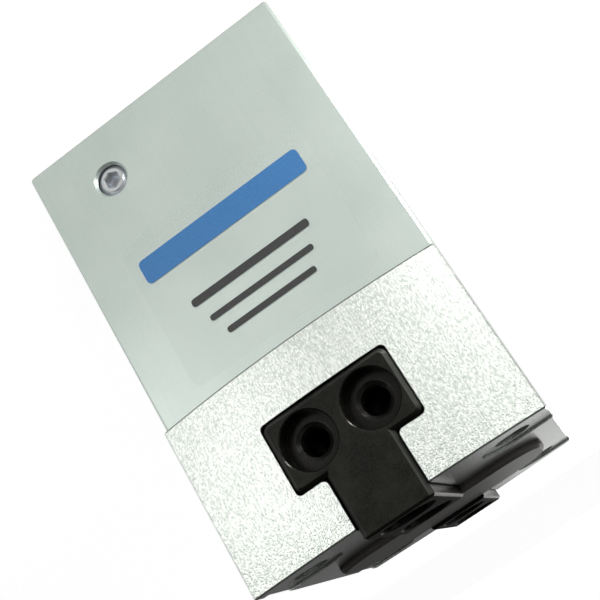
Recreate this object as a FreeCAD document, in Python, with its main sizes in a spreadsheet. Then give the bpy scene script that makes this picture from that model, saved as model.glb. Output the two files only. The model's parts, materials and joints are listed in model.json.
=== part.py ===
import FreeCAD, Part
import os
import re

import Sketcher

# A parallel gripper: two T-slot jaws slide apart along X when a wedge on the piston rod is
# pulled down, and a spring under the piston closes them again.
# Millimetres. +Z points from the mounting base to the gripping side, and the origin is the
# middle of the base. The jaws are modelled closed, which is where the spring holds them.

SIZES = {
    # housings
    "body_width": 28.0,
    "body_length": 36.0,
    "body_height": 45.25,
    "seam_z": 29.05,
    "guide_overhang": 0.65,
    "end_bulge": 1.45,
    "guide_bevel": 0.12,
    "edge_bevel": 0.25,
    "overcut": 1.0,
    # holes right through both housings, and the shallow seat round each on the gripping side
    "through_x": 13.8,
    "through_y": 10.3,
    "through_r": 1.65,
    "seat_r": 3.1,
    "seat_depth": 0.2,
    # locating holes in the base
    "locating_x": 15.0,
    "locating_r": 1.5,
    "locating_depth": 3.5,
    # cylinder bore
    "bore_r": 10.0,
    "bore_top": 20.0,
    "ring_groove_z": 0.6,
    "ring_groove_r": 10.5,
    "ring_thickness": 1.0,
    # rod passage above the bore, and the pocket that the wedge sinks into
    "lip_r": 3.8,
    "lip_height": 0.8,
    "bush_r": 5.2,
    "bush_height": 2.1,
    "pocket_floor": 25.0,
    "pocket_half_length": 8.8,
    "pocket_half_width": 5.6,
    "pocket_corner": 2.0,
    # air ports and ducts
    "port_z": 5.4,
    "plugged_port_y": 7.0,
    "closing_port_y": 5.0,
    "opening_port_y": 4.0,
    "opening_port_z": 22.3,
    "port_core_r": 1.25,
    "port_depth": 4.5,
    "duct_r": 0.75,
    "duct_end": 6.0,
    "upper_duct_x": 7.2,
    "upper_duct_r": 0.6,
    "plug_r": 1.5,
    "plug_depth": 3.6,
    "plug_length": 3.0,
    "plug_recess": 0.2,
    "plug_bevel": 0.38,
    "plug_socket": 1.4,
    "plug_socket_depth": 1.0,
    "plug_socket_bevel": 0.1,
    # sensor slots in the two wide sides
    "slot_x": 6.5,
    "slot_y": 12.0,
    "slot_r": 1.6,
    "slot_mouth": 2.4,
    "slot_height": 23.0,
    # screws and pins that hold the two housings together
    "screw_x": 2.9,
    "screw_y": 8.7,
    "screw_r": 1.25,
    "screw_clearance_r": 1.4,
    "screw_end_z": 22.6,
    "screw_hole_z": 22.4,
    "screw_seat_z": 41.3,
    "screw_head_r": 2.2,
    "screw_head_height": 2.5,
    "counterbore_r": 2.4,
    "socket_share": 0.55,
    "pin_x": 10.5,
    "pin_y": 11.2,
    "pin_r": 1.0,
    "pin_half_length": 3.5,
    # T-slot for the jaws
    "slide_floor": 33.9,
    "slide_shoulder": 40.54,
    "slide_half_width": 6.2,
    "slide_neck": 3.45,
    "slide_corner": 0.5,
    "opening_half_length": 13.4,
    # cover over the middle of the T-slot
    "cover_length": 12.4,
    "cover_width": 23.2,
    "cover_corner": 4.7,
    "cover_gap": 0.03,
    "cover_sunk": 0.5,
    "cover_thickness": 1.2,
    "cover_bevel": 0.3,
    # jaws
    "jaw_end": 20.1,
    "jaw_half_width": 6.1,
    "jaw_floor": 34.0,
    "jaw_shoulder": 40.46,
    "jaw_corner": 0.8,
    "jaw_bevel": 0.4,
    "jaw_top": 46.28,
    "jaw_top_bevel": 0.2,
    "stem_half_width": 3.3,
    "stem_start": 6.4,
    "tongue_start": 4.2,
    "tongue_top": 44.4,
    "foot_bottom": 30.4,
    "foot_end": 8.8,
    "sleeve_r": 2.5,
    "sleeve_depth": 1.6,
    "sleeve_bevel": 0.12,
    "thread_r": 1.25,
    "thread_depth": 6.5,
    "countersink_depth": 0.22,
    "countersink_spread": 0.4,
    "end_hole_y": 3.02,
    "end_hole_z": 37.15,
    "top_hole_x": 16.9,
    "top_hole_step": 7.0,
    "top_sleeve_depth": 1.4,
    "top_thread_depth": 4.9,
    # wedge: each flank leans out as it rises, jaw_stroke for every piston_stroke
    "piston_stroke": 6.0,
    "jaw_stroke": 4.0,
    "wedge_bottom": 31.3,
    "wedge_top": 40.26,
    "wedge_root": 2.8,
    "wedge_half_width": 4.0,
    "rail_neck": 1.1,
    "rail_head": 1.4,
    "rail_neck_half_width": 2.0,
    "slide_gap": 0.05,
    # piston rod and piston
    "rod_r": 3.5,
    "rod_bottom": 19.4,
    "rod_bore_depth": 6.6,
    "rod_shoulder": 30.2,
    "rod_neck_r": 2.0,
    "spigot_r": 1.5,
    "spigot_length": 4.6,
    "spigot_gap": 0.4,
    "piston_bottom": 10.4,
    "disc_r": 9.7,
    "piston_neck_r": 7.3,
    "clamp_height": 2.2,
    "magnet_height": 3.0,
    "magnet_r": 9.4,
    "spring_pocket_r": 6.2,
    "spring_pocket_depth": 4.0,
    "wear_groove_r": 9.0,
    "wear_groove_low": 0.4,
    "wear_band_height": 1.4,
    "running_r": 9.94,
    "seal_groove_r": 7.7,
    "seal_groove_low": 6.0,
    "seal_height": 2.2,
    "seal_lip": 0.2,
    "seal_waist_low": 0.9,
    "seal_waist_high": 1.3,
    "cushion_inner_r": 5.0,
    "cushion_outer_r": 6.6,
    "cushion_groove_depth": 0.8,
    "cushion_height": 1.2,
    "piston_screw_r": 2.0,
    "piston_screw_length": 11.0,
    "piston_screw_head_r": 3.5,
    "piston_screw_head": 2.8,
    "piston_screw_socket_r": 1.5,
    # rod seal
    "rod_running_r": 3.55,
    "rod_seal_height": 2.0,
    "rod_seal_lip": 0.6,
    "rod_seal_heel": 0.9,
    # end cap
    "cap_r": 9.95,
    "cap_bottom": 1.6,
    "cap_top": 4.0,
    "cap_groove_low": 2.3,
    "cap_groove_high": 3.5,
    "cap_groove_r": 9.0,
    "cap_seat_depth": 1.0,
    "cap_dish_r": 6.0,
    "cap_dish_depth": 0.6,
    "o_ring_r": 9.5,
    "o_ring_section_r": 0.48,
    "circlip_outer_r": 10.4,
    "circlip_inner_r": 8.8,
    "circlip_gap": 5.0,
    "circlip_ear_r": 1.5,
    "circlip_ear_inset": 0.9,
    "circlip_ear_hole_r": 0.6,
    # spring
    "spring_r": 5.5,
    "spring_wire_r": 0.4,
    "spring_turns": 5.5,
    "spring_segment": 0.25,
    # blank label on the narrow side
    "label_width": 19.5,
    "label_height": 15.2,
    "label_z": 19.7,
    "label_corner": 1.0,
    "label_thickness": 0.08,
}

# Heights worked out from the sizes, as text that the expressions below repeat.
PISTON_TOP = "rod_bottom"
CLAMP_TOP = "(piston_bottom + clamp_height)"
MAGNET_TOP = "(piston_bottom + clamp_height + magnet_height)"
SPRING_SEAT = "(piston_bottom + spring_pocket_depth)"
SPRING_FOOT = "(cap_top - cap_seat_depth)"
SLOPE = "(jaw_stroke / piston_stroke)"

doc = FreeCAD.newDocument("parallel_gripper")
sheet = doc.addObject("Spreadsheet::Sheet", "Sizes")
parts = []


def fill_sheet():
    for row, (alias, size) in enumerate(SIZES.items(), start=1):
        sheet.set(f"A{row}", alias.replace("_", " "))
        sheet.set(f"B{row}", str(size))
        sheet.setAlias(f"B{row}", alias)
    doc.recompute()


# ---- expressions ----------------------------------------------------------------------------

def sheet_expression(text):
    """The text with each size's name turned into a reference to its cell."""
    def refer(word):
        return "Sizes." + word.group(0) if word.group(0) in SIZES else word.group(0)
    return re.sub(r"[a-z]\w+", refer, text)


def value(text):
    return float(sheet.evalExpression(sheet_expression(text)))


def bind(thing, path, text):
    thing.setExpression(path, sheet_expression(text))


def flank(height, out="0"):
    """Distance from the middle to the wedge's flank at a height, plus a step outwards."""
    return f"wedge_root + {SLOPE} * ({height} - wedge_bottom) + {out}"


# ---- sketches -------------------------------------------------------------------------------

def new_body(label):
    body = doc.addObject("PartDesign::Body", label)
    body.Label = label
    return body


def new_sketch(body, plane, offset="0"):
    """A sketch on one of the body's own planes, moved along the plane's normal."""
    base = next(item for item in body.Origin.OriginFeatures if item.Role == plane + "_Plane")
    sketch = body.newObject("Sketcher::SketchObject", body.Label + "_sketch")
    sketch.AttachmentSupport = (base, [""])
    sketch.MapMode = "FlatFace"
    bind(sketch, "AttachmentOffset.Base.z", offset)
    return sketch


def dimension(sketch, kind, where, text):
    index = sketch.addConstraint(Sketcher.Constraint(kind, *where, value(text)))
    bind(sketch, f"Constraints[{index}]", text)


def place_point(sketch, geometry, end, point):
    dimension(sketch, "DistanceX", (geometry, end), point[0])
    dimension(sketch, "DistanceY", (geometry, end), point[1])


def draw_circle(sketch, across, up, radius):
    centre = FreeCAD.Vector(value(across), value(up), 0)
    circle = sketch.addGeometry(Part.Circle(centre, FreeCAD.Vector(0, 0, 1), value(radius)))
    place_point(sketch, circle, 3, (across, up))
    dimension(sketch, "Radius", (circle,), radius)


def draw_outline(sketch, corners):
    """A closed outline of straight edges through the corners."""
    spots = [FreeCAD.Vector(value(across), value(up), 0) for across, up in corners]
    count = len(spots)
    edges = [sketch.addGeometry(Part.LineSegment(spots[i], spots[(i + 1) % count]))
             for i in range(count)]
    for i in range(count):
        sketch.addConstraint(Sketcher.Constraint("Coincident", edges[i], 2, edges[(i + 1) % count], 1))
        place_point(sketch, edges[i], 1, corners[i])


def draw_box(sketch, left, right, low, high):
    draw_outline(sketch, [(left, low), (right, low), (right, high), (left, high)])


# ---- features -------------------------------------------------------------------------------

def add_feature(body, kind, sketch, **settings):
    feature = body.newObject("PartDesign::" + kind, body.Label + "_" + kind.lower())
    feature.Profile = sketch
    for name, setting in settings.items():
        setattr(feature, name, setting)
    sketch.Visibility = False
    return feature


def pad(body, sketch, length, both_ways=False):
    feature = add_feature(body, "Pad", sketch, Midplane=both_ways)
    bind(feature, "Length", length)
    doc.recompute()
    return feature


def pocket(body, sketch, length, along_normal=False, both_ways=False):
    """Cuts against the sketch's normal, or along it, and makes sure that something was cut."""
    before = body.Shape.Volume
    feature = add_feature(body, "Pocket", sketch, Reversed=along_normal, Midplane=both_ways)
    bind(feature, "Length", length)
    doc.recompute()
    if body.Shape.Volume > before - 1e-4:
        raise RuntimeError(f"a pocket in {body.Label} cut nothing")
    return feature


def turn(body, sketch):
    feature = add_feature(body, "Revolution", sketch, ReferenceAxis=(sketch, ["V_Axis"]), Angle=360)
    doc.recompute()
    return feature


def dress_edges(body, kind, choose, size):
    """A chamfer or fillet on the edges of the body's last feature that choose picks."""
    base = body.Tip
    names = [f"Edge{i}" for i, edge in enumerate(base.Shape.Edges, start=1) if choose(edge)]
    feature = body.newObject("PartDesign::" + kind, body.Label + "_" + kind.lower())
    feature.Base = (base, names)
    bind(feature, "Radius" if kind == "Fillet" else "Size", size)
    doc.recompute()
    return feature


def runs_along(edge, axis):
    """True for an edge parallel to an axis: 0 is X, 1 is Y and 2 is Z."""
    box = edge.BoundBox
    spans = [box.XLength, box.YLength, box.ZLength]
    return spans[axis] > 0.01 and all(spans[i] < 1e-4 for i in range(3) if i != axis)


def at(number, *places):
    return any(abs(number - place) < 1e-3 for place in places)


def drill(body, spots, depth, level="0", plane="XY", along_normal=False):
    """Round holes, each given as (across, up, radius), from one level."""
    sketch = new_sketch(body, plane, level)
    for across, up, radius in spots:
        draw_circle(sketch, across, up, radius)
    return pocket(body, sketch, depth, along_normal)


def four(across, up, radius):
    return [(a, b, radius) for a in (across, "-" + across) for b in (up, "-" + up)]


def keep(thing, label):
    thing.Label = label
    parts.append(thing)
    return thing


def turned(label, profile):
    """A ring or shaft from half of its section, whose corners are (radius, height)."""
    body = new_body(label)
    sketch = new_sketch(body, "XZ")
    draw_outline(sketch, profile)
    turn(body, sketch)
    return keep(body, label)


def ring(label, inner, outer, low, high):
    return turned(label, [(inner, low), (outer, low), (outer, high), (inner, high)])


def plate_corners(body, half_length, half_width, corner):
    """Rounds the upright edges at the plate's or pocket's four corners."""
    across = value(half_length)
    along = value(half_width)

    def choose(edge):
        middle = edge.CenterOfMass
        return runs_along(edge, 2) and at(abs(middle.x), across) and at(abs(middle.y), along)
    return dress_edges(body, "Fillet", choose, corner)


# ---- primitives -----------------------------------------------------------------------------

def primitive(kind, name, sizes, base=("0", "0", "0"), rotation=None):
    thing = doc.addObject("Part::" + kind, name)
    for path, text in sizes.items():
        bind(thing, path, text)
    if rotation is not None:
        thing.Placement.Rotation = rotation
    for axis, text in zip("xyz", base):
        bind(thing, "Placement.Base." + axis, text)
    return thing


def combine(kind, name, base, tool):
    thing = doc.addObject("Part::" + kind, name)
    thing.Base = base
    thing.Tool = tool
    return thing


def group(label, members):
    thing = doc.addObject("Part::Compound", label)
    thing.Links = members
    return keep(thing, label)


def cap_screw(name, spot, seat, head_up, shank_r, length, head_r, head_height, socket_r):
    """A socket-head screw whose head stands on the seat, or hangs below it."""
    head_low = seat if head_up else f"{seat} - {head_height}"
    shank_low = f"{seat} - ({length})" if head_up else seat
    socket_low = f"{seat} + (1 - socket_share) * {head_height}" if head_up else head_low
    shank = primitive("Cylinder", name + "_shank", {"Radius": shank_r, "Height": length},
                      (*spot, shank_low))
    head = primitive("Cylinder", name + "_head", {"Radius": head_r, "Height": head_height},
                     (*spot, head_low))
    socket = primitive("Prism", name + "_socket",
                       {"Circumradius": socket_r, "Height": f"socket_share * {head_height}"},
                       (*spot, socket_low))
    return combine("Cut", name, combine("Fuse", name + "_blank", shank, head), socket)


# ---- housings -------------------------------------------------------------------------------

def cylinder_housing():
    body = new_body("cylinder_housing")
    sketch = new_sketch(body, "XY")
    draw_box(sketch, "-body_length / 2", "body_length / 2", "-body_width / 2", "body_width / 2")
    pad(body, sketch, "seam_z")
    dress_edges(body, "Chamfer", lambda edge: True, "edge_bevel")
    drill(body, [("0", "0", "bore_r")], "bore_top", along_normal=True)
    drill(body, [("0", "0", "ring_groove_r")], "ring_thickness", "ring_groove_z", along_normal=True)
    drill(body, four("through_x", "through_y", "through_r"), "seam_z", along_normal=True)
    drill(body, [("locating_x", "0", "locating_r"), ("-locating_x", "0", "locating_r")],
          "locating_depth", along_normal=True)
    cut_rod_passage(body)
    cut_sensor_slots(body)
    cut_ports(body)
    drill(body, four("screw_x", "screw_y", "screw_r"), "seam_z - screw_hole_z", "seam_z")
    drill(body, pin_spots(), "pin_half_length", "seam_z")
    return keep(body, "cylinder_housing")


def cut_rod_passage(body):
    drill(body, [("0", "0", "lip_r")], "seam_z - bore_top", "seam_z")
    drill(body, [("0", "0", "bush_r")], "seam_z - bore_top - lip_height", "seam_z")
    sketch = new_sketch(body, "XY", "seam_z")
    draw_box(sketch, "-pocket_half_length", "pocket_half_length",
             "-pocket_half_width", "pocket_half_width")
    pocket(body, sketch, "seam_z - pocket_floor")
    plate_corners(body, "pocket_half_length", "pocket_half_width", "pocket_corner")


def cut_sensor_slots(body):
    """Round slots with a narrower mouth, open at the base, two in each wide side."""
    drill(body, four("slot_x", "slot_y", "slot_r"), "slot_height", along_normal=True)
    sketch = new_sketch(body, "XY")
    for side in ("", "-"):
        for end in ("", "-"):
            near = f"{side}slot_y"
            far = f"{side}body_width / 2 {side or '+'} edge_bevel"
            middle = f"{end}slot_x"
            draw_box(sketch, f"{middle} - slot_mouth / 2", f"{middle} + slot_mouth / 2",
                     *((near, far) if side == "" else (far, near)))
    pocket(body, sketch, "slot_height", along_normal=True)


def cut_ports(body):
    """Two open ports and their ducts in the -X side, and one in the +X side for a plug."""
    near_end = "body_length / 2"
    far_end = "-body_length / 2"
    plugged = ("plugged_port_y", "port_z")
    closing = ("-closing_port_y", "port_z")
    opening = ("opening_port_y", "opening_port_z")
    drill(body, [(*plugged, "plug_r")], "plug_depth", near_end, "YZ")
    drill(body, [(*plugged, "duct_r")], "body_length / 2 - duct_end", near_end, "YZ")
    drill(body, [(*port, "port_core_r") for port in (closing, opening)],
          "port_depth", far_end, "YZ", along_normal=True)
    drill(body, [(*closing, "duct_r")], "body_length / 2 - duct_end", far_end, "YZ",
          along_normal=True)
    drill(body, [(*opening, "duct_r")], "body_length / 2 - upper_duct_x + upper_duct_r", far_end,
          "YZ", along_normal=True)
    drill(body, [("-upper_duct_x", "opening_port_y", "upper_duct_r")],
          "opening_port_z - bore_top", "bore_top", along_normal=True)
    face = value(near_end)
    mouth = 2 * value("plug_r")
    dress_edges(body, "Chamfer", lambda edge: at(edge.BoundBox.XMin, face)
                and at(edge.BoundBox.YLength, mouth), "edge_bevel")


def pin_spots():
    return [("pin_x", "-pin_y", "pin_r"), ("-pin_x", "pin_y", "pin_r")]


def guide_housing():
    body = new_body("guide_housing")
    sketch = new_sketch(body, "XY", "seam_z")
    draw_bulged_plate(sketch)
    pad(body, sketch, "body_height - seam_z")
    dress_edges(body, "Chamfer", lambda edge: True, "guide_bevel")
    cut_t_slot(body)
    opening = new_sketch(body, "XY", "seam_z")
    draw_box(opening, "-opening_half_length", "opening_half_length",
             "-slide_half_width", "slide_half_width")
    pocket(body, opening, "slide_floor - seam_z + overcut", along_normal=True)
    drill(body, four("through_x", "through_y", "through_r"), "body_height - seam_z", "body_height")
    cut_screw_seats(body)
    cover_seat = new_sketch(body, "XY", "body_height")
    draw_box(cover_seat, "-cover_length / 2", "cover_length / 2",
             "-cover_width / 2", "cover_width / 2")
    pocket(body, cover_seat, "cover_sunk")
    plate_corners(body, "cover_length / 2", "cover_width / 2", "cover_corner")
    drill(body, four("screw_x", "screw_y", "screw_clearance_r"), "body_height - seam_z", "body_height")
    drill(body, four("screw_x", "screw_y", "counterbore_r"), "body_height - screw_seat_z", "body_height")
    drill(body, pin_spots(), "pin_half_length", "seam_z", along_normal=True)
    return keep(body, "guide_housing")


def draw_bulged_plate(sketch):
    """Straight long sides, and ends that swell outwards in one shallow arc."""
    end = "body_length / 2 + guide_overhang"
    corners = [(f"-({end})", "-body_width / 2"), (end, "-body_width / 2"),
               (end, "body_width / 2"), (f"-({end})", "body_width / 2")]
    spots = [FreeCAD.Vector(value(across), value(up), 0) for across, up in corners]
    middle = value(end) + value("end_bulge")
    tops = [FreeCAD.Vector(middle, 0, 0), FreeCAD.Vector(-middle, 0, 0)]
    low = sketch.addGeometry(Part.LineSegment(spots[0], spots[1]))
    right = sketch.addGeometry(Part.Arc(spots[1], tops[0], spots[2]))
    high = sketch.addGeometry(Part.LineSegment(spots[2], spots[3]))
    left = sketch.addGeometry(Part.Arc(spots[3], tops[1], spots[0]))
    for first, second in ((low, right), (right, high), (high, left), (left, low)):
        sketch.addConstraint(Sketcher.Constraint("Coincident", first, 2, second, 1))
    for line, corner in ((low, 0), (high, 2)):
        place_point(sketch, line, 1, corners[corner])
        place_point(sketch, line, 2, corners[corner + 1])
    for arc in (right, left):
        dimension(sketch, "Radius", (arc,), "((body_width / 2)^2 + end_bulge^2) / (2 * end_bulge)")


def cut_t_slot(body):
    sketch = new_sketch(body, "YZ")
    draw_outline(sketch, [
        ("-slide_half_width", "slide_floor"), ("slide_half_width", "slide_floor"),
        ("slide_half_width", "slide_shoulder"), ("slide_neck", "slide_shoulder"),
        ("slide_neck", "body_height + overcut"), ("-slide_neck", "body_height + overcut"),
        ("-slide_neck", "slide_shoulder"), ("-slide_half_width", "slide_shoulder")])
    pocket(body, sketch, "body_length * 2", both_ways=True)
    wide = value("slide_half_width")
    narrow = value("slide_neck")
    levels = [value("slide_floor"), value("slide_shoulder")]

    def choose(edge):
        middle = edge.CenterOfMass
        return (edge.BoundBox.XLength > value("body_length / 2") and at(abs(middle.y), wide, narrow)
                and at(middle.z, *levels))
    dress_edges(body, "Fillet", choose, "slide_corner")


def cut_screw_seats(body):
    """A shallow seat round each through hole, open to the nearer long side."""
    drill(body, four("through_x", "through_y", "seat_r"), "seat_depth", "body_height")
    sketch = new_sketch(body, "XY", "body_height")
    for end in ("", "-"):
        left = f"{end}through_x - seat_r"
        right = f"{end}through_x + seat_r"
        draw_box(sketch, left, right, "through_y", "body_width / 2 + overcut")
        draw_box(sketch, left, right, "-body_width / 2 - overcut", "-through_y")
    pocket(body, sketch, "seat_depth")


# ---- jaws and wedge -------------------------------------------------------------------------

def gripper_jaw(label, turned_by):
    body = new_body(label)
    sketch = new_sketch(body, "XZ")
    draw_outline(sketch, [
        (flank("foot_bottom", "slide_gap"), "foot_bottom"), ("foot_end", "foot_bottom"),
        ("foot_end", "jaw_floor"), ("jaw_end", "jaw_floor"), ("jaw_end", "jaw_shoulder"),
        (flank("jaw_shoulder", "slide_gap"), "jaw_shoulder")])
    pad(body, sketch, "2 * jaw_half_width", both_ways=True)
    side = value("jaw_half_width")
    levels = [value("jaw_floor"), value("jaw_shoulder")]
    dress_edges(body, "Fillet", lambda edge: runs_along(edge, 0) and at(edge.CenterOfMass.z, *levels)
                and at(abs(edge.CenterOfMass.y), side), "jaw_corner")
    stem = new_sketch(body, "XZ")
    draw_outline(stem, [
        ("tongue_start", "jaw_shoulder"), ("jaw_end", "jaw_shoulder"), ("jaw_end", "jaw_top"),
        ("stem_start", "jaw_top"), ("stem_start", "tongue_top"), ("tongue_start", "tongue_top")])
    pad(body, stem, "2 * stem_half_width", both_ways=True)
    bevel_jaw(body)
    cut_wedge_slot(body)
    drill_jaw(body)
    body.Placement = FreeCAD.Placement(FreeCAD.Vector(), FreeCAD.Rotation(turned_by, 0, 0))
    return keep(body, label)


def bevel_jaw(body):
    """Breaks the edges round the outer end, and more finely those round the top."""
    end = value("jaw_end")
    top = value("jaw_top")

    def round_end(edge):
        box = edge.BoundBox
        return at(box.XMin, end) and at(box.XMax, end) and not at(box.ZMin, top)

    def round_top(edge):
        return at(edge.BoundBox.ZMin, top) and at(edge.BoundBox.ZMax, top)
    dress_edges(body, "Chamfer", round_end, "jaw_bevel")
    dress_edges(body, "Chamfer", round_top, "jaw_top_bevel")


def cut_wedge_slot(body):
    """The slanted T-slot in the inner end that the wedge's rail slides in."""
    neck = new_sketch(body, "XZ")
    draw_outline(neck, slanted("foot_bottom - overcut", "jaw_shoulder", "-overcut", "rail_neck"))
    pocket(body, neck, "2 * (rail_neck_half_width + slide_gap)", both_ways=True)
    head = new_sketch(body, "XZ")
    draw_outline(head, slanted("foot_bottom - overcut", "jaw_shoulder", "rail_neck - slide_gap",
                               "rail_neck + rail_head + slide_gap"))
    pocket(body, head, "2 * (wedge_half_width + slide_gap)", both_ways=True)


def slanted(low, high, near, far, side=""):
    """Corners of a strip that leans with the wedge's flank."""
    corners = [(flank(low, near), low), (flank(low, far), low),
               (flank(high, far), high), (flank(high, near), high)]
    return [(f"{side}({across})", up) for across, up in corners]


def drill_jaw(body):
    """Two stepped threaded holes in the outer end and two along the top, countersunk a little."""
    pair = [("end_hole_y", "end_hole_z"), ("-end_hole_y", "end_hole_z")]
    drill(body, [(*spot, "sleeve_r") for spot in pair], "sleeve_depth", "jaw_end", "YZ")
    drill(body, [(*spot, "thread_r") for spot in pair], "thread_depth", "jaw_end", "YZ")
    row = [("top_hole_x", "0"), ("top_hole_x - top_hole_step", "0")]
    drill(body, [(*spot, "sleeve_r") for spot in row], "top_sleeve_depth", "jaw_top")
    drill(body, [(*spot, "thread_r") for spot in row], "top_thread_depth", "jaw_top")
    countersink = dress_edges(
        body, "Chamfer", rims("thread_r", "jaw_end - sleeve_depth", "jaw_top - top_sleeve_depth"),
        "countersink_spread")
    countersink.ChamferType = "Two distances"
    bind(countersink, "Size2", "countersink_depth")
    doc.recompute()
    dress_edges(body, "Chamfer", rims("sleeve_r", "jaw_end", "jaw_top"), "sleeve_bevel")


def rims(radius, end_level, top_level):
    """Picks the circles of a radius that lie at one level of the end or of the top."""
    across = 2 * value(radius)
    end = value(end_level)
    top = value(top_level)

    def choose(edge):
        box = edge.BoundBox
        in_end = at(box.XMin, end) and at(box.XMax, end) and at(box.YLength, across)
        in_top = at(box.ZMin, top) and at(box.ZMax, top) and at(box.XLength, across)
        return in_end or in_top
    return choose


def wedge_driver():
    """A block with leaning flanks and a T-rail up each flank, screwed on the piston rod."""
    body = new_body("wedge_driver")
    for step, half_width in (("0", "wedge_half_width"), ("rail_neck", "rail_neck_half_width")):
        sketch = new_sketch(body, "XZ")
        right = slanted("wedge_bottom", "wedge_top", "0", step)
        left = slanted("wedge_bottom", "wedge_top", "0", step, "-")
        draw_outline(sketch, [left[1], right[1], right[2], left[2]])
        pad(body, sketch, f"2 * {half_width}", both_ways=True)
    for side in ("", "-"):
        sketch = new_sketch(body, "XZ")
        draw_outline(sketch, slanted("wedge_bottom", "wedge_top", "rail_neck",
                                     "rail_neck + rail_head", side))
        pad(body, sketch, "2 * wedge_half_width", both_ways=True)
    drill(body, [("0", "0", "spigot_r")], "spigot_length + spigot_gap", "wedge_bottom", along_normal=True)
    return keep(body, "wedge_driver")


# ---- piston group ---------------------------------------------------------------------------

def piston_rod():
    bore_end = "rod_bottom + rod_bore_depth"
    return turned("piston_rod", [
        ("piston_screw_r", "rod_bottom"), ("rod_r", "rod_bottom"), ("rod_r", "rod_shoulder"),
        ("rod_neck_r", "rod_shoulder"), ("rod_neck_r", "wedge_bottom"),
        ("spigot_r", "wedge_bottom"), ("spigot_r", "wedge_bottom + spigot_length"),
        ("0", "wedge_bottom + spigot_length"), ("0", bore_end), ("piston_screw_r", bore_end)])


def piston():
    groove_low = "piston_bottom + seal_groove_low"
    groove_high = "piston_bottom + seal_groove_low + seal_height"
    cushion_floor = f"{PISTON_TOP} - cushion_groove_depth"
    return turned("piston", [
        ("spring_pocket_r", "piston_bottom"), ("piston_neck_r", "piston_bottom"),
        ("piston_neck_r", MAGNET_TOP), ("disc_r", MAGNET_TOP),
        ("disc_r", groove_low), ("seal_groove_r", groove_low),
        ("seal_groove_r", groove_high), ("disc_r", groove_high), ("disc_r", PISTON_TOP),
        ("cushion_outer_r", PISTON_TOP), ("cushion_outer_r", cushion_floor),
        ("cushion_inner_r", cushion_floor), ("cushion_inner_r", PISTON_TOP),
        ("piston_screw_r", PISTON_TOP), ("piston_screw_r", SPRING_SEAT),
        ("spring_pocket_r", SPRING_SEAT)])


def magnet_clamp_disc():
    groove_low = "piston_bottom + wear_groove_low"
    groove_high = "piston_bottom + wear_groove_low + wear_band_height"
    return turned("magnet_clamp_disc", [
        ("piston_neck_r", "piston_bottom"), ("disc_r", "piston_bottom"),
        ("disc_r", groove_low), ("wear_groove_r", groove_low),
        ("wear_groove_r", groove_high), ("disc_r", groove_high),
        ("disc_r", CLAMP_TOP), ("piston_neck_r", CLAMP_TOP)])


def piston_seal():
    """Two lips that lean out to the bore from a waist between them."""
    low = "piston_bottom + seal_groove_low"
    high = "piston_bottom + seal_groove_low + seal_height"
    return turned("piston_seal", [
        ("seal_groove_r", low), ("disc_r", low), ("running_r", f"{low} + seal_lip"),
        ("disc_r", f"{low} + seal_waist_low"), ("disc_r", f"{low} + seal_waist_high"),
        ("running_r", f"{high} - seal_lip"),
        ("disc_r", high), ("seal_groove_r", high)])


def piston_rings():
    wear_low = "piston_bottom + wear_groove_low"
    ring("piston_guide_ring", "wear_groove_r", "running_r", wear_low, wear_low + " + wear_band_height")
    ring("piston_magnet", "piston_neck_r", "magnet_r", CLAMP_TOP, MAGNET_TOP)
    floor = f"{PISTON_TOP} - cushion_groove_depth"
    ring("piston_cushion", "cushion_inner_r", "cushion_outer_r", floor, floor + " + cushion_height")


def piston_screw():
    screw = cap_screw("piston_screw_solid", ("0", "0"), SPRING_SEAT, False, "piston_screw_r",
                      "piston_screw_length", "piston_screw_head_r", "piston_screw_head",
                      "piston_screw_socket_r")
    return keep(screw, "piston_screw")


# ---- fixed parts inside the cylinder --------------------------------------------------------

def rod_seal():
    low = "bore_top + lip_height"
    high = f"{low} + rod_seal_height"
    return turned("rod_seal", [
        ("rod_running_r", low), ("bush_r", low), ("bush_r", high),
        ("rod_running_r + rod_seal_lip", high), ("rod_running_r + rod_seal_lip", low + " + rod_seal_heel")])


def end_cap():
    """A disc with a ring groove round it, and a stepped seat for the spring on top."""
    return turned("end_cap", [
        ("0", "cap_bottom + cap_dish_depth"), ("cap_dish_r", "cap_bottom + cap_dish_depth"),
        ("cap_dish_r", "cap_bottom"), ("cap_r", "cap_bottom"), ("cap_r", "cap_groove_low"),
        ("cap_groove_r", "cap_groove_low"), ("cap_groove_r", "cap_groove_high"),
        ("cap_r", "cap_groove_high"), ("cap_r", "cap_top"), ("spring_pocket_r", "cap_top"),
        ("spring_pocket_r", SPRING_FOOT), ("0", SPRING_FOOT)])


def end_cap_seal():
    seal = primitive("Torus", "end_cap_o_ring", {"Radius1": "o_ring_r", "Radius2": "o_ring_section_r"},
                     ("0", "0", "(cap_groove_low + cap_groove_high) / 2"))
    return keep(seal, "end_cap_seal")


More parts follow.
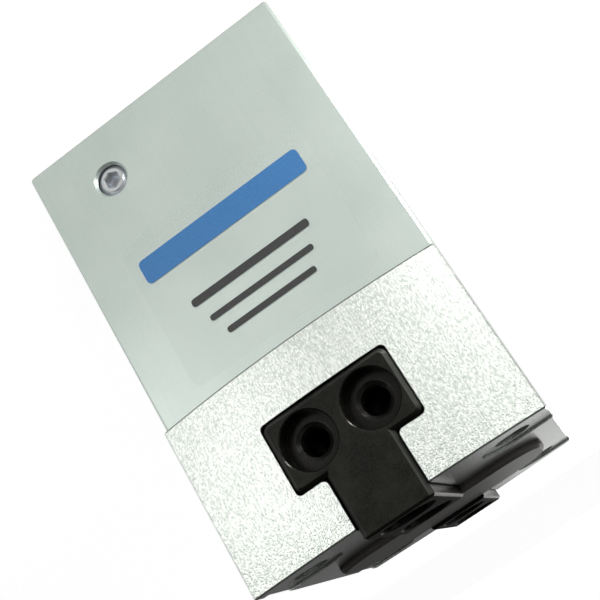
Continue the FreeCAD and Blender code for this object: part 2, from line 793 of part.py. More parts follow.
def end_cap_retaining_ring():
    """An open spring ring with a drilled ear at each end of its gap."""
    body = new_body("end_cap_retaining_ring")
    blank = new_sketch(body, "XY", "ring_groove_z")
    draw_circle(blank, "0", "0", "circlip_outer_r")
    draw_circle(blank, "0", "0", "circlip_inner_r")
    pad(body, blank, "ring_thickness")
    ear_x = "circlip_inner_r - circlip_ear_inset"
    ear_y = "circlip_gap / 2 + circlip_ear_inset"
    for side in ("", "-"):
        ear = new_sketch(body, "XY", "ring_groove_z")
        draw_circle(ear, ear_x, f"{side}({ear_y})", "circlip_ear_r")
        pad(body, ear, "ring_thickness")
    gap = new_sketch(body, "XY", "ring_groove_z")
    draw_box(gap, "circlip_inner_r - 2 * circlip_ear_r", "circlip_outer_r + overcut",
             "-circlip_gap / 2", "circlip_gap / 2")
    pocket(body, gap, "ring_thickness", along_normal=True)
    drill(body, [(ear_x, f"{side}({ear_y})", "circlip_ear_hole_r") for side in ("", "-")],
          "ring_thickness", "ring_groove_z", along_normal=True)
    return keep(body, "end_cap_retaining_ring")


def closing_spring():
    """A round wire swept along a helix, one quarter turn at a time."""
    length = f"({SPRING_SEAT} - {SPRING_FOOT} - 2 * spring_wire_r)"
    foot = f"{SPRING_FOOT} + spring_wire_r"
    helix = primitive("Helix", "spring_path", {
        "Pitch": f"{length} / spring_turns", "Height": length, "Radius": "spring_r",
        "SegmentLength": "spring_segment"}, ("0", "0", foot))
    wire = primitive("Circle", "spring_wire", {"Radius": "spring_wire_r"}, ("spring_r", "0", foot),
                     FreeCAD.Rotation(FreeCAD.Vector(-1, 0, 0), 90))
    bind(wire, "Placement.Rotation.Angle", f"atan(2 * pi * spring_r * spring_turns / {length})")
    doc.recompute()
    coil = doc.addObject("Part::Sweep", "spring_coil")
    coil.Sections = [wire]
    coil.Spine = (helix, [f"Edge{i}" for i in range(1, len(helix.Shape.Edges) + 1)])
    coil.Solid = True
    coil.Frenet = True
    return keep(coil, "closing_spring")


# ---- covers and small hardware --------------------------------------------------------------

def cover_plate():
    body = new_body("cover_plate")
    sketch = new_sketch(body, "XY", "body_height - cover_sunk")
    half_length = "cover_length / 2 - cover_gap"
    half_width = "cover_width / 2 - cover_gap"
    draw_box(sketch, f"-({half_length})", half_length, f"-({half_width})", half_width)
    pad(body, sketch, "cover_thickness")
    plate_corners(body, half_length, half_width, "cover_corner - cover_gap")
    top = value("body_height - cover_sunk + cover_thickness")
    dress_edges(body, "Chamfer", lambda edge: at(edge.BoundBox.ZMin, top), "cover_bevel")
    return keep(body, "cover_plate")


def housing_screws():
    screws = []
    for number, (across, up, radius) in enumerate(four("screw_x", "screw_y", "screw_r"), start=1):
        screws.append(cap_screw(f"housing_screw_{number}", (across, up), "screw_seat_z", True,
                                radius, "screw_seat_z - screw_end_z", "screw_head_r",
                                "screw_head_height", "screw_r"))
    return group("housing_screws", screws)


def locating_pins():
    pins = [primitive("Cylinder", f"locating_pin_{number}",
                      {"Radius": radius, "Height": "2 * pin_half_length"},
                      (across, up, "seam_z - pin_half_length"))
            for number, (across, up, radius) in enumerate(pin_spots(), start=1)]
    return group("locating_pins", pins)


def hexagon(across, up, width):
    """Corners of a hexagon that is the width across its flats."""
    half = f"{width} / 2"
    short = f"{width} / (2 * sqrt(3))"
    long = f"{width} / sqrt(3)"
    return [(across, f"{up} + {long}"), (f"{across} - {half}", f"{up} + {short}"),
            (f"{across} - {half}", f"{up} - {short}"), (across, f"{up} - {long}"),
            (f"{across} + {half}", f"{up} - {short}"), (f"{across} + {half}", f"{up} + {short}")]


def side_port_plug():
    """A headless screw sunk just below the face, with its hexagon socket outwards."""
    body = new_body("side_port_plug")
    face = "body_length / 2 - plug_recess"
    blank = new_sketch(body, "YZ", face + " - plug_length")
    draw_circle(blank, "plugged_port_y", "port_z", "plug_r")
    pad(body, blank, "plug_length")
    dress_edges(body, "Chamfer", lambda edge: not runs_along(edge, 0), "plug_bevel")
    socket = new_sketch(body, "YZ", face)
    draw_outline(socket, hexagon("plugged_port_y", "port_z", "plug_socket"))
    pocket(body, socket, "plug_socket_depth")
    mouth = value(face)
    flat = value("plug_socket / sqrt(3)")
    dress_edges(body, "Chamfer", lambda edge: at(edge.BoundBox.XMin, mouth)
                and at(edge.Length, flat), "plug_socket_bevel")
    return keep(body, "side_port_plug")


def side_label():
    body = new_body("side_label")
    sketch = new_sketch(body, "YZ", "body_length / 2")
    draw_box(sketch, "-label_width / 2", "label_width / 2",
             "label_z - label_height / 2", "label_z + label_height / 2")
    pad(body, sketch, "label_thickness")
    dress_edges(body, "Fillet", lambda edge: runs_along(edge, 0), "label_corner")
    return keep(body, "side_label")


def check(thing):
    """Stops if a sub-part or anything it is built from has failed."""
    if thing.Shape.isNull() or not thing.Shape.isValid():
        raise RuntimeError(f"{thing.Label} has no valid shape")
    for item in doc.Objects:
        if "Invalid" in item.State or "Error" in item.State:
            raise RuntimeError(f"{item.Label} has failed: {item.State}")


def write_parts():
    os.makedirs("parts", exist_ok=True)
    for thing in parts:
        check(thing)
        thing.Shape.exportStep(f"parts/{thing.Label}.step")
        print(f"{thing.Label}: {len(thing.Shape.Solids)} solids, {thing.Shape.Volume:.1f} mm3")


def main():
    fill_sheet()
    cylinder_housing()
    guide_housing()
    gripper_jaw("gripper_jaw_right", 0)
    gripper_jaw("gripper_jaw_left", 180)
    wedge_driver()
    piston_rod()
    piston()
    magnet_clamp_disc()
    piston_seal()
    piston_rings()
    piston_screw()
    rod_seal()
    ring("rod_bush", "rod_running_r", "bush_r", "pocket_floor - bush_height", "pocket_floor")
    end_cap()
    end_cap_seal()
    end_cap_retaining_ring()
    closing_spring()
    cover_plate()
    housing_screws()
    locating_pins()
    side_port_plug()
    side_label()
    doc.recompute()
    write_parts()


main()
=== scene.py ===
import json
import math

import bmesh
import bpy
from mathutils import Matrix, Vector


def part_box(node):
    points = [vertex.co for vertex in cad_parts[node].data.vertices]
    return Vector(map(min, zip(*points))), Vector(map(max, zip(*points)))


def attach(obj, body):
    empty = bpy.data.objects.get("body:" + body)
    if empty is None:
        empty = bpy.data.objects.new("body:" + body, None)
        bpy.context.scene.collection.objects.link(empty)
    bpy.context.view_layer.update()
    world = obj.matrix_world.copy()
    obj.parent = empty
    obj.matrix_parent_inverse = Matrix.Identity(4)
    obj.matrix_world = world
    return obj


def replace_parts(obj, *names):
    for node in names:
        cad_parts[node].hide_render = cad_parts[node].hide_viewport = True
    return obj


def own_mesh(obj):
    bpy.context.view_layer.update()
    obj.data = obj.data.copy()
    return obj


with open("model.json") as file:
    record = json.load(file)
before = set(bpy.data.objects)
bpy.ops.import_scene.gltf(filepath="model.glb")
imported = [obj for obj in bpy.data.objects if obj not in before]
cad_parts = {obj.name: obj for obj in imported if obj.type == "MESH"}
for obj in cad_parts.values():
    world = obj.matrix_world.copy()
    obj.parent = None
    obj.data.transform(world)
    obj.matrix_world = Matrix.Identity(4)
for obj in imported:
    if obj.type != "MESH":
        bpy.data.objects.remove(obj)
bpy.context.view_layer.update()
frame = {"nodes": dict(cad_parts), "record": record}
MM = 0.001

# ---- camera ---------------------------------------------------------------------------------
CAMERA_PLACE = Vector((85.9, -14.15, 53.95)) * MM
LOOK = Vector((-0.9543, 0.1236, -0.2721))
IMAGE_UP = Vector((0.1575, -0.5656, -0.8095))
SENSOR = 36.0
LENS = 52.3
SHIFT = (-0.14, 0.0983)

# ---- what the record says -------------------------------------------------------------------
MOUNTS = {mount["name"]: mount for mount in frame["record"]["mounts"]}

# ---- threads: pitches, lengths and the depth of the countersink above a jaw's thread ----------
M3_PITCH = 0.5 * MM
M4_PITCH = 0.7 * MM
JAW_THREAD = 3.0 * MM
BASE_THREAD = 8.0 * MM
THREAD_RUN_IN = 0.25 * MM

# ---- how far the finish inside a jaw's sleeve seats reaches past their edges -------------------
RIM = 0.2 * MM

# ---- light ----------------------------------------------------------------------------------
HORIZON = 1.3
WALLS = 0.48
CEILING = 0.08
SHADY_SIDE = 0.2
FLOOR_GLOW = 0.8
CARD_POWER = 0.037
GLINT_POWER = 0.04
POOL_POWER = 0.015
BACK_POWER = 0.6


def add_camera():
    data = bpy.data.cameras.new("camera")
    data.sensor_width = SENSOR
    data.lens = LENS
    data.shift_x, data.shift_y = SHIFT
    data.clip_start = 0.005
    data.clip_end = 20
    camera = bpy.data.objects.new("camera", data)
    bpy.context.scene.collection.objects.link(camera)
    back = -LOOK.normalized()
    right = IMAGE_UP.cross(back).normalized()
    up = back.cross(right)
    camera.matrix_world = Matrix.Translation(CAMERA_PLACE) @ Matrix((right, up, back)).transposed().to_4x4()
    bpy.context.scene.camera = camera
    bpy.context.scene.view_settings.view_transform = "Standard"


# ---- node helpers ---------------------------------------------------------------------------
class Surface:
    """A material with a Principled shader and short ways to add nodes to it."""

    def __init__(self, name, **settings):
        self.material = bpy.data.materials.new(name)
        self.material.use_nodes = True
        self.nodes = self.material.node_tree.nodes
        self.links = self.material.node_tree.links
        self.shader = self.nodes["Principled BSDF"]
        for socket, setting in settings.items():
            self.shader.inputs[socket.replace("_", " ")].default_value = setting
        self.place = self.nodes.new("ShaderNodeTexCoord").outputs["Object"]

    def add(self, kind, inputs=None, **settings):
        node = self.nodes.new("ShaderNode" + kind)
        for name, setting in settings.items():
            setattr(node, name, setting)
        for socket, source in (inputs or {}).items():
            target = node.inputs[socket]
            if isinstance(source, bpy.types.NodeSocket):
                self.links.new(source, target)
            else:
                target.default_value = source
        return node

    def stretched(self, scale):
        return self.add("Mapping", {"Vector": self.place, "Scale": scale}).outputs["Vector"]

    def noise(self, scale, detail=3.0, roughness=0.5, vector=None):
        inputs = {"Vector": vector or self.place, "Scale": scale, "Detail": detail,
                  "Roughness": roughness}
        return self.add("TexNoise", inputs).outputs["Fac"]

    def spots(self, scale, vector=None):
        return self.add("TexVoronoi", {"Vector": vector or self.place, "Scale": scale}).outputs["Distance"]

    def span(self, source, low, high, start=0.0, end=1.0):
        inputs = {"Value": source, "From Min": start, "From Max": end, "To Min": low, "To Max": high}
        return self.add("MapRange", inputs).outputs["Result"]

    def math(self, operation, first, second=0.0):
        return self.add("Math", {0: first, 1: second}, operation=operation).outputs["Value"]

    def mix(self, factor, first, second, blend="MIX"):
        node = self.add("Mix", {"Factor": factor}, data_type="RGBA", blend_type=blend)
        for socket, source in ((node.inputs[6], first), (node.inputs[7], second)):
            if isinstance(source, bpy.types.NodeSocket):
                self.links.new(source, socket)
            else:
                socket.default_value = (*source, 1.0)
        return node.outputs[2]

    def edge_mask(self, radius, sharp=0.8):
        """Near 1 within the radius of a sharp edge, and 0 on open faces."""
        rounded = self.rounded_edges(radius)
        flat = self.add("NewGeometry").outputs["Normal"]
        facing = self.add("VectorMath", {0: rounded, 1: flat}, operation="DOT_PRODUCT").outputs["Value"]
        return self.span(facing, 1.0, 0.0, sharp, 0.995)

    def facing(self, start, end):
        """Rises from 0 to 1 as the Z part of a face's normal goes from start to end."""
        apart = self.add("SeparateXYZ", {"Vector": self.add("NewGeometry").outputs["Normal"]})
        return self.span(apart.outputs["Z"], 0.0, 1.0, start, end)

    def chamfers(self):
        """1 on upright chamfers, which lie aslant between two of the axes, and 0 on the rest."""
        normal = self.add("NewGeometry").outputs["Normal"]
        sizes = self.add("VectorMath", {0: normal}, operation="ABSOLUTE").outputs["Vector"]
        apart = self.add("SeparateXYZ", {"Vector": sizes}).outputs
        largest = self.math("MAXIMUM", self.math("MAXIMUM", apart["X"], apart["Y"]), apart["Z"])
        aslant = self.span(largest, 1.0, 0.0, 0.75, 0.85)
        outward = self.span(apart["X"], 0.0, 1.0, 0.4, 0.6)
        return self.math("MULTIPLY", self.math("MULTIPLY", aslant, outward), self.facing(0.5, 0.3))

    def beyond(self, across, up, radius):
        """0 within the radius of two holes along X, which lie the same way off to each side."""
        apart = self.add("SeparateXYZ", {"Vector": self.place}).outputs
        sideways = self.math("SUBTRACT", self.math("ABSOLUTE", apart["Y"]), across)
        upwards = self.math("SUBTRACT", apart["Z"], up)
        squares = self.math("ADD", self.math("POWER", sideways, 2.0), self.math("POWER", upwards, 2.0))
        return self.math("GREATER_THAN", squares, radius * radius)

    def openness(self, reach):
        """1 on open faces, falling towards 0 in gaps and deep in holes narrower than the reach."""
        return self.add("AmbientOcclusion", {"Distance": reach}, samples=6).outputs["AO"]

    def paint_gap_shade(self, colour, reach, darkest, start=0.2, end=0.85):
        """Paints shade into a colour: darker in gaps, creases and holes, the more closed in they are."""
        return self.mix(self.span(self.openness(reach), darkest, 1.0, start, end), (0, 0, 0), colour)

    def bump(self, height, distance, strength=1.0, below=None):
        inputs = {"Height": height, "Distance": distance, "Strength": strength}
        if below is not None:
            inputs["Normal"] = below
        return self.add("Bump", inputs).outputs["Normal"]

    def rounded_edges(self, radius):
        return self.add("Bevel", {"Radius": radius}, samples=4).outputs["Normal"]

    def feed(self, **sources):
        for socket, source in sources.items():
            self.links.new(source, self.shader.inputs[socket.replace("_", " ")])
        return self.material


# ---- materials ------------------------------------------------------------------------------
def satin_anodised():
    """Smooth anodised aluminium with a faint green cast and fine lines along Z, with painted highlights on
    its edges and painted shade in its gaps.
    """
    made = Surface("satin_anodised", Metallic=0.85, IOR=1.5)
    clouds = made.noise(110, 4)
    lines = made.noise(1400, 4, 0.6, made.stretched((1.0, 1.0, 0.04)))
    fine = made.noise(6500, 3)
    colour = made.mix(made.span(clouds, 0.0, 1.0, 0.3, 0.7), (0.37, 0.42, 0.39), (0.425, 0.475, 0.44))
    colour = made.mix(made.span(lines, 0.0, 0.18, 0.45, 0.75), colour, (0.335, 0.385, 0.36))
    colour = made.mix(made.span(fine, 0.0, 0.3, 0.4, 0.75), colour, (0.51, 0.56, 0.525))
    # painted highlight: the edges turned lighter, as if they caught the light
    colour = made.mix(made.edge_mask(0.08 * MM), colour, (0.60, 0.65, 0.62))
    # painted shade: darker in seams, gaps and holes
    colour = made.paint_gap_shade(colour, 0.4 * MM, 0.2, 0.3, 0.85)
    rough = made.math("ADD", made.span(clouds, 0.34, 0.42), made.span(lines, -0.03, 0.03))
    normal = made.bump(lines, 0.0015 * MM, below=made.rounded_edges(0.08 * MM))
    normal = made.bump(fine, 0.006 * MM, below=normal)
    return made.feed(Base_Color=colour, Roughness=rough, Normal=normal)


def blasted_anodised():
    """Bead-blasted aluminium with a fine grain, with painted shade along its edges, on the faces that look
    down and in its gaps.
    """
    made = Surface("blasted_anodised", Metallic=0.9, IOR=1.5)
    dents = made.spots(6500)
    grain = made.noise(6500, 4, 0.65, made.stretched((1.0, 1.0, 0.5)))
    clouds = made.noise(160, 3)
    colour = made.mix(made.span(clouds, 0.0, 1.0, 0.3, 0.7), (0.46, 0.49, 0.45), (0.51, 0.533, 0.50))
    colour = made.mix(made.span(grain, 0.0, 0.6, 0.45, 0.65), colour, (0.30, 0.34, 0.31))
    colour = made.mix(made.span(grain, 0.45, 0.0, 0.35, 0.55), colour, (0.68, 0.70, 0.66))
    # painted shade: sharp edges darkened, standing in for dark reflections on the chamfers
    colour = made.mix(made.edge_mask(0.1 * MM, 0.92), colour, (0.12, 0.13, 0.125))
    # painted shade: faces that look down darkened, as if less light reached them
    colour = made.mix(made.facing(-0.3, -0.5), colour, (0.07, 0.075, 0.07))
    # painted shade: darker in gaps and holes
    colour = made.paint_gap_shade(colour, 0.5 * MM, 0.06, 0.3, 0.85)
    milled = made.facing(0.8, 0.95)
    rough = made.math("ADD", made.span(grain, 0.2, 0.3), made.span(milled, 0.0, -0.08))
    coarse = made.span(milled, 1.0, 0.12)
    normal = made.bump(dents, 0.022 * MM, coarse, below=made.rounded_edges(0.06 * MM))
    normal = made.bump(grain, 0.04 * MM, coarse, below=normal)
    return made.feed(Base_Color=colour, Roughness=rough, Normal=normal)


def dark_steel():
    """Black oxidised steel, lighter on its upright chamfers from wear and a painted sheen, with painted shade
    in its gaps and holes, and smoother in the holes of a jaw's end.
    """
    made = Surface("dark_steel", Metallic=0.55, IOR=1.28, Specular_Tint=(0.5, 0.48, 0.47, 1.0))
    lines = made.noise(2600, 3, vector=made.stretched((0.04, 1.0, 1.0)))
    fine = made.noise(6000, 4, 0.6)
    patches = made.noise(420, 4, 0.6)
    colour = made.mix(made.span(fine, 0.0, 1.0, 0.35, 0.7), (0.006, 0.0062, 0.0052), (0.013, 0.0133, 0.0112))
    colour = made.mix(made.span(patches, 0.0, 0.5, 0.45, 0.7), colour, (0.019, 0.019, 0.0155))
    # painted shade: darker in gaps and deep in the holes
    colour = made.paint_gap_shade(colour, 3.0 * MM, 0.04, 0.25, 0.8)
    sleeve = MOUNTS["jaw_right_end_sleeve_a"]
    outside = made.beyond(abs(sleeve["pos_m"][1]), sleeve["pos_m"][2], sleeve["dims"]["r_mm"] * MM + RIM)
    # upright chamfers lighter: partly wear, partly a painted sheen of light caught on them; kept out of the
    # sleeve holes
    wear_and_painted_sheen = made.math("MULTIPLY", made.chamfers(), made.span(patches, 0.6, 1.0, 0.35, 0.65))
    colour = made.mix(made.math("MULTIPLY", wear_and_painted_sheen, outside), colour, (0.044, 0.046, 0.041))
    rough = made.math("MULTIPLY", made.span(lines, 0.36, 0.5), made.span(outside, 0.4, 1.0))
    normal = made.bump(lines, 0.004 * MM, below=made.rounded_edges(0.1 * MM))
    normal = made.bump(fine, 0.012 * MM, below=normal)
    return made.feed(Base_Color=colour, Roughness=rough, Normal=normal,
                     Specular_IOR_Level=made.span(outside, 1.0, 0.5))


def machined(name, light, dark, line_scale, rough_low, rough_high, darkest=0.15):
    """Bright turned or ground metal, with fine tool lines round or along it."""
    made = Surface(name, Metallic=1.0)
    lines = made.noise(line_scale, 3, vector=made.stretched((1.0, 1.0, 4.0)))
    colour = made.mix(made.span(lines, 0.0, 1.0, 0.3, 0.7), dark, light)
    # painted shade: darker in gaps and holes
    colour = made.paint_gap_shade(colour, 1.2 * MM, darkest)
    normal = made.bump(lines, 0.003 * MM, below=made.rounded_edges(0.06 * MM))
    return made.feed(Base_Color=colour, Roughness=made.span(lines, rough_low, rough_high), Normal=normal)


def soft_plain(name, light, dark, scale, rough_low, rough_high):
    """Rubber, plastic or pressed powder: an even colour broken by a fine grain."""
    made = Surface(name, Metallic=0.0)
    grain = made.noise(scale, 4)
    colour = made.mix(made.span(grain, 0.0, 1.0, 0.3, 0.7), dark, light)
    normal = made.bump(grain, 0.01 * MM)
    return made.feed(Base_Color=colour, Roughness=made.span(grain, rough_low, rough_high), Normal=normal)


def cover_metal():
    """Dark grey-brown plate, smooth on top and matt round its sides, with painted highlights on its edges and
    painted shade in its gaps and on their sheen.
    """
    made = Surface("cover_metal", Metallic=0.6, IOR=1.4)
    lines = made.noise(1500, 3, vector=made.stretched((1.0, 0.05, 1.0)))
    fine = made.noise(6000, 3)
    colour = made.mix(made.span(fine, 0.0, 1.0, 0.3, 0.7), (0.085, 0.079, 0.071), (0.13, 0.121, 0.109))
    # painted highlight: the edges turned lighter, as if they caught the light
    colour = made.mix(made.edge_mask(0.08 * MM), colour, (0.16, 0.152, 0.14))
    # painted shade: darker in gaps and round the plate's walls
    colour = made.paint_gap_shade(colour, 0.8 * MM, 0.1)
    normal = made.bump(lines, 0.004 * MM, below=made.rounded_edges(0.1 * MM))
    normal = made.bump(fine, 0.008 * MM, below=normal)
    # painted shade: the sheen's tint dimmed in gaps, so the walls there reflect less
    tint = made.paint_gap_shade((0.8, 0.8, 0.8), 1.2 * MM, 0.02, 0.5, 0.95)
    rough = made.math("ADD", made.span(lines, 0.26, 0.36), made.span(made.facing(0.8, 0.95), 0.3, 0.0))
    return made.feed(Base_Color=colour, Roughness=rough, Normal=normal, Specular_Tint=tint)


def label_film():
    """Clear film, hardly seen but for its gloss."""
    made = Surface("label_film", Metallic=0.0, Alpha=0.04, IOR=1.45)
    grain = made.noise(3000, 3)
    colour = made.mix(made.span(grain, 0.0, 1.0, 0.3, 0.7), (0.50, 0.55, 0.52), (0.58, 0.63, 0.60))
    return made.feed(Base_Color=colour, Roughness=made.span(grain, 0.34, 0.44))


def print_ink(name, light, dark):
    """Printed ink, a little thin in places."""
    made = Surface(name, Metallic=0.0)
    grain = made.noise(5000, 4, 0.6)
    colour = made.mix(made.span(grain, 0.0, 1.0, 0.35, 0.7), dark, light)
    return made.feed(Base_Color=colour, Roughness=made.span(grain, 0.42, 0.55))


def plug_steel():
    """Zinc-plated steel, with painted light brightening the bottom of its socket."""
    made = Surface("plug_steel", Metallic=0.7, IOR=1.5)
    fine = made.noise(4000, 3)
    colour = made.mix(made.span(fine, 0.0, 1.0, 0.3, 0.7), (0.36, 0.37, 0.37), (0.43, 0.44, 0.45))
    # painted light: the deep, closed-in bottom of the socket turned bright and bluish
    colour = made.mix(made.span(made.openness(0.6 * MM), 1.0, 0.0, 0.3, 0.75), colour, (0.80, 0.86, 0.95))
    normal = made.bump(fine, 0.003 * MM, below=made.rounded_edges(0.06 * MM))
    return made.feed(Base_Color=colour, Roughness=made.span(fine, 0.26, 0.36), Normal=normal)


MATERIALS = {
    "satin_anodised": satin_anodised(),
    "blasted_anodised": blasted_anodised(),
    "dark_steel": dark_steel(),
    "hardened_steel": machined("hardened_steel", (0.36, 0.36, 0.37), (0.28, 0.28, 0.29), 2500, 0.3, 0.42),
    "ground_steel": machined("ground_steel", (0.66, 0.66, 0.67), (0.56, 0.56, 0.57), 3500, 0.16, 0.26),
    "turned_aluminium": machined("turned_aluminium", (0.76, 0.77, 0.78), (0.66, 0.67, 0.68), 2600, 0.28, 0.4),
    "zinc_steel": machined("zinc_steel", (0.70, 0.70, 0.69), (0.58, 0.58, 0.57), 3000, 0.22, 0.36),
    "spring_steel": machined("spring_steel", (0.42, 0.42, 0.44), (0.33, 0.33, 0.35), 3000, 0.3, 0.42),
    "bearing_bronze": machined("bearing_bronze", (0.58, 0.38, 0.19), (0.46, 0.29, 0.14), 4000, 0.35, 0.5),
    "seal_rubber": soft_plain("seal_rubber", (0.030, 0.030, 0.030), (0.018, 0.018, 0.018), 5000, 0.6, 0.75),
    "bearing_plastic": soft_plain("bearing_plastic", (0.76, 0.74, 0.67), (0.68, 0.66, 0.59), 4000, 0.45, 0.6),
    "magnet_compound": soft_plain("magnet_compound", (0.10, 0.10, 0.11), (0.07, 0.07, 0.08), 5000, 0.5, 0.65),
    "cover_metal": cover_metal(),
    "label_film": label_film(),
}


def give_materials():
    for part in frame["record"]["subparts"]:
        node = frame["nodes"][part["node"]]
        node.data.materials.clear()
        node.data.materials.append(MATERIALS[part["material_slot"]])
    plug = frame["nodes"]["side_port_plug"]
    plug.data.materials[0] = plug_steel()


# ---- pieces ---------------------------------------------------------------------------------
def add_piece(name, mesh, material, body, casts_shadow=True):
    """Turns a finished bmesh into a piece of the object that rides on a body."""
    bmesh.ops.recalc_face_normals(mesh, faces=mesh.faces)
    data = bpy.data.meshes.new(name)
    mesh.to_mesh(data)
    mesh.free()
    data.materials.append(material)
    piece = bpy.data.objects.new(name, data)
    piece.visible_shadow = casts_shadow
    bpy.context.scene.collection.objects.link(piece)
    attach(piece, body)
    return piece


def rounded_plate(centre, width, height, depth, corner):
    """A thin plate with rounded corners that faces +X, its back at the centre's X."""
    outline = []
    steps = 8
    for across, up, start in ((1, 1, 0), (-1, 1, 90), (-1, -1, 180), (1, -1, 270)):
        for step in range(steps + 1):
            angle = math.radians(start + 90 * step / steps)
            outline.append((across * (width / 2 - corner) + corner * math.cos(angle),
                            up * (height / 2 - corner) + corner * math.sin(angle)))
    mesh = bmesh.new()
    face = mesh.faces.new([mesh.verts.new(centre + Vector((0, across, up))) for across, up in outline])
    raised = bmesh.ops.extrude_face_region(mesh, geom=[face])
    tops = [item for item in raised["geom"] if isinstance(item, bmesh.types.BMVert)]
    bmesh.ops.translate(mesh, verts=tops, vec=(depth, 0, 0))
    return mesh


# ---- film and printing on the narrow side ---------------------------------------------------
def print_label():
    """Clear film over the narrow side, with one broad stripe and three thin bars on it."""
    low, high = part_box("side_label")
    width = high.y - low.y
    height = high.z - low.z
    middle = (low.y + high.y) / 2
    clearance = 0.02 * MM
    ink_depth = 0.01 * MM
    film_top = high.x - ink_depth - clearance
    film_low = low.x + clearance
    film = rounded_plate(Vector((film_low, middle, (low.z + high.z) / 2)), width, height,
                         film_top - film_low, 1.0 * MM)
    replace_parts(add_piece("clear_film", film, MATERIALS["label_film"], "housing", False),
                "side_label")
    blue = print_ink("blue_ink", (0.018, 0.125, 0.31), (0.012, 0.10, 0.26))
    black = print_ink("black_ink", (0.018, 0.018, 0.018), (0.008, 0.008, 0.008))
    bars = [("printed_stripe", 0.215, 17.6, 2.5, 0.5, blue), ("printed_bar_1", 0.56, 12.6, 0.8, 0.3, black),
            ("printed_bar_2", 0.70, 11.0, 0.6, 0.25, black), ("printed_bar_3", 0.82, 9.4, 0.6, 0.25, black)]
    for name, share, bar_width, bar_height, corner, ink in bars:
        place = Vector((film_top + clearance / 2, middle, low.z + share * height))
        bar = rounded_plate(place, bar_width * MM, bar_height * MM, ink_depth, corner * MM)
        add_piece(name, bar, ink, "housing", False)


# ---- spring ---------------------------------------------------------------------------------
def shorten_spring():
    """The closing spring again, as a piece of its own that rides on the housing."""
    spring = frame["nodes"]["closing_spring"]
    mesh = bmesh.new()
    mesh.from_mesh(spring.data)
    mesh.transform(spring.matrix_world)
    coil = add_piece("closing_coil", mesh, MATERIALS["spring_steel"], "housing")
    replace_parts(coil, "closing_spring")
    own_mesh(coil)


# ---- threads --------------------------------------------------------------------------------
def add_thread(mesh, mouth, inward, radius, pitch, length):
    """A ridge that winds down the wall of a tapped hole, fading out at both ends."""
    across = Vector((0, 0, 1)) if abs(inward.z) < 0.5 else Vector((1, 0, 0))
    along = inward.cross(across)
    steps = 20
    count = round((length / pitch - 1) * steps)
    height = 0.28 * pitch
    half_width = 0.4 * pitch
    buried = 0.03 * MM
    before = None
    for step in range(count + 1):
        angle = 2 * math.pi * step / steps
        out = across * math.cos(angle) + along * math.sin(angle)
        centre = mouth + inward * pitch * (0.5 + step / steps)
        rise = height * max(0.1, min(1, 2 * step / steps, 2 * (count - step) / steps))
        ring = [mesh.verts.new(centre + out * (radius + buried) - inward * half_width),
                mesh.verts.new(centre + out * (radius - rise)),
                mesh.verts.new(centre + out * (radius + buried) + inward * half_width)]
        if before is None or step == count:
            mesh.faces.new(ring)
        if before is not None:
            for side in range(3):
                following = (side + 1) % 3
                mesh.faces.new([before[side], before[following], ring[following], ring[side]])
        before = ring


def cut_threads():
    """M3 threads in the jaws and the two ports, and M4 threads in the four holes of the base."""
    def place(mount):
        return Vector(mount["pos_m"])

    def half_depth(mount):
        return mount["dims"]["length_mm"] * MM / 2

    for side in ("right", "left"):
        mesh = bmesh.new()
        for kind in ("end", "top"):
            pattern = MOUNTS[f"jaw_{side}_{kind}_threads"]
            radius = pattern["dims"]["hole_r_mm"] * MM
            for hole in "ab":
                sleeve = MOUNTS[f"jaw_{side}_{kind}_sleeve_{hole}"]
                inward = -Vector(sleeve["axis"])
                floor = place(sleeve) + inward * half_depth(sleeve)
                add_thread(mesh, floor + inward * THREAD_RUN_IN, inward, radius, M3_PITCH, JAW_THREAD)
        add_piece(f"jaw_{side}_thread_ridges", mesh, MATERIALS["dark_steel"], f"jaw_{side}")
    mesh = bmesh.new()
    for name in ("closing_port", "opening_port"):
        port = MOUNTS[name]
        inward = -Vector(port["axis"])
        add_thread(mesh, place(port) - inward * half_depth(port), inward, port["dims"]["r_mm"] * MM,
                   M3_PITCH, 2 * half_depth(port))
    base = MOUNTS["base_bolts"]
    spread = (base["dims"]["spacing_x_mm"] * MM / 2, base["dims"]["spacing_y_mm"] * MM / 2)
    for end in (1, -1):
        for edge in (1, -1):
            mouth = place(base) + Vector((end * spread[0], edge * spread[1], 0))
            add_thread(mesh, mouth, Vector((0, 0, 1)), base["dims"]["hole_r_mm"] * MM, M4_PITCH,
                       BASE_THREAD)
    add_piece("housing_thread_ridges", mesh, MATERIALS["satin_anodised"], "housing")


# ---- stage ----------------------------------------------------------------------------------
def add_light(name, kind, place, aim, power, **settings):
    data = bpy.data.lights.new(name, kind)
    data.energy = power
    for setting, wanted in settings.items():
        setattr(data, setting, wanted)
    light = bpy.data.objects.new(name, data)
    light.location = place
    light.visible_camera = False
    light.rotation_euler = (Vector(aim) - Vector(place)).to_track_quat("-Z", "Y").to_euler()
    bpy.context.scene.collection.objects.link(light)


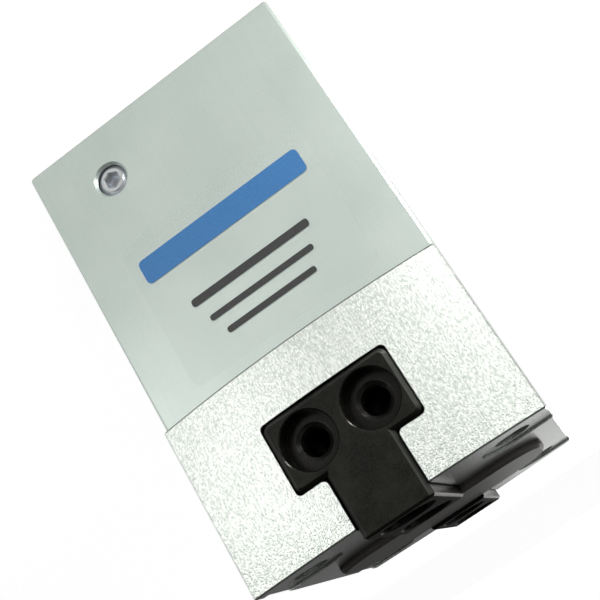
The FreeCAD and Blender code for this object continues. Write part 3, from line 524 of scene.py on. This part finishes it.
def build_world():
    """White round the horizon, grey walls, a dark ceiling and less light from +Y, but white to the camera."""
    world = bpy.data.worlds.new("studio")
    world.use_nodes = True
    nodes = world.node_tree.nodes
    links = world.node_tree.links
    apart = nodes.new("ShaderNodeSeparateXYZ")
    links.new(nodes.new("ShaderNodeTexCoord").outputs["Generated"], apart.inputs[0])

    def band(direction, start, end, low, high):
        ramp = nodes.new("ShaderNodeMapRange")
        ramp.interpolation_type = "SMOOTHSTEP"
        links.new(apart.outputs[direction], ramp.inputs["Value"])
        for socket, setting in zip(("From Min", "From Max", "To Min", "To Max"), (start, end, low, high)):
            ramp.inputs[socket].default_value = setting
        return ramp.outputs["Result"]

    def combine(operation, first, second):
        node = nodes.new("ShaderNodeMath")
        node.operation = operation
        links.new(first, node.inputs[0])
        links.new(second, node.inputs[1])
        return node.outputs["Value"]

    upright = combine("ADD", band("Z", 0.05, 0.12, HORIZON, WALLS), band("Z", 0.5, 0.9, 0.0, CEILING - WALLS))
    strength = combine("MULTIPLY", upright, band("Y", 0.04, 0.14, 1.0, SHADY_SIDE))
    seen = nodes.new("ShaderNodeLightPath").outputs["Is Camera Ray"]
    strength = combine("MAXIMUM", strength, seen)
    background = nodes["Background"]
    background.inputs["Color"].default_value = (1, 1, 1, 1)
    links.new(strength, background.inputs["Strength"])
    bpy.context.scene.world = world


def build_floor():
    mesh = bpy.data.meshes.new("floor")
    reach = 6.0
    mesh.from_pydata([(-reach, -reach, 0), (reach, -reach, 0), (reach, reach, 0), (-reach, reach, 0)],
                     [], [(0, 1, 2, 3)])
    floor = bpy.data.objects.new("floor", mesh)
    bpy.context.scene.collection.objects.link(floor)
    pale = Surface("pale_floor", Roughness=0.9, Emission_Color=(1, 1, 1, 1), Emission_Strength=FLOOR_GLOW)
    clouds = pale.noise(3, 2)
    colour = pale.mix(clouds, (0.93, 0.93, 0.93), (0.95, 0.95, 0.95))
    mesh.materials.append(pale.feed(Base_Color=colour))


def build_stage():
    build_world()
    build_floor()
    height = 0.0225
    for name, x, y in (("left_card", 0.135, 0.085), ("right_card", 0.155, -0.075)):
        add_light(name, "AREA", (x, y, height), (0, 0, height), CARD_POWER, shape="RECTANGLE",
                  size=0.07, size_y=0.044)
    add_light("glint_strip", "AREA", (0.038, -0.048, 0.003), (0.038, 0, 0.04), GLINT_POWER,
              shape="RECTANGLE", size=0.03, size_y=0.012)
    add_light("floor_pool", "AREA", (0.09, 0.045, 0.045), (0.09, 0.045, 0), POOL_POWER, shape="DISK",
              size=0.04)
    add_light("back_softbox", "AREA", (-0.8, -0.15, 0.13), (0, 0, 0.04), BACK_POWER, shape="DISK",
              size=0.2)


add_camera()
give_materials()
print_label()
shorten_spring()
cut_threads()
build_stage()
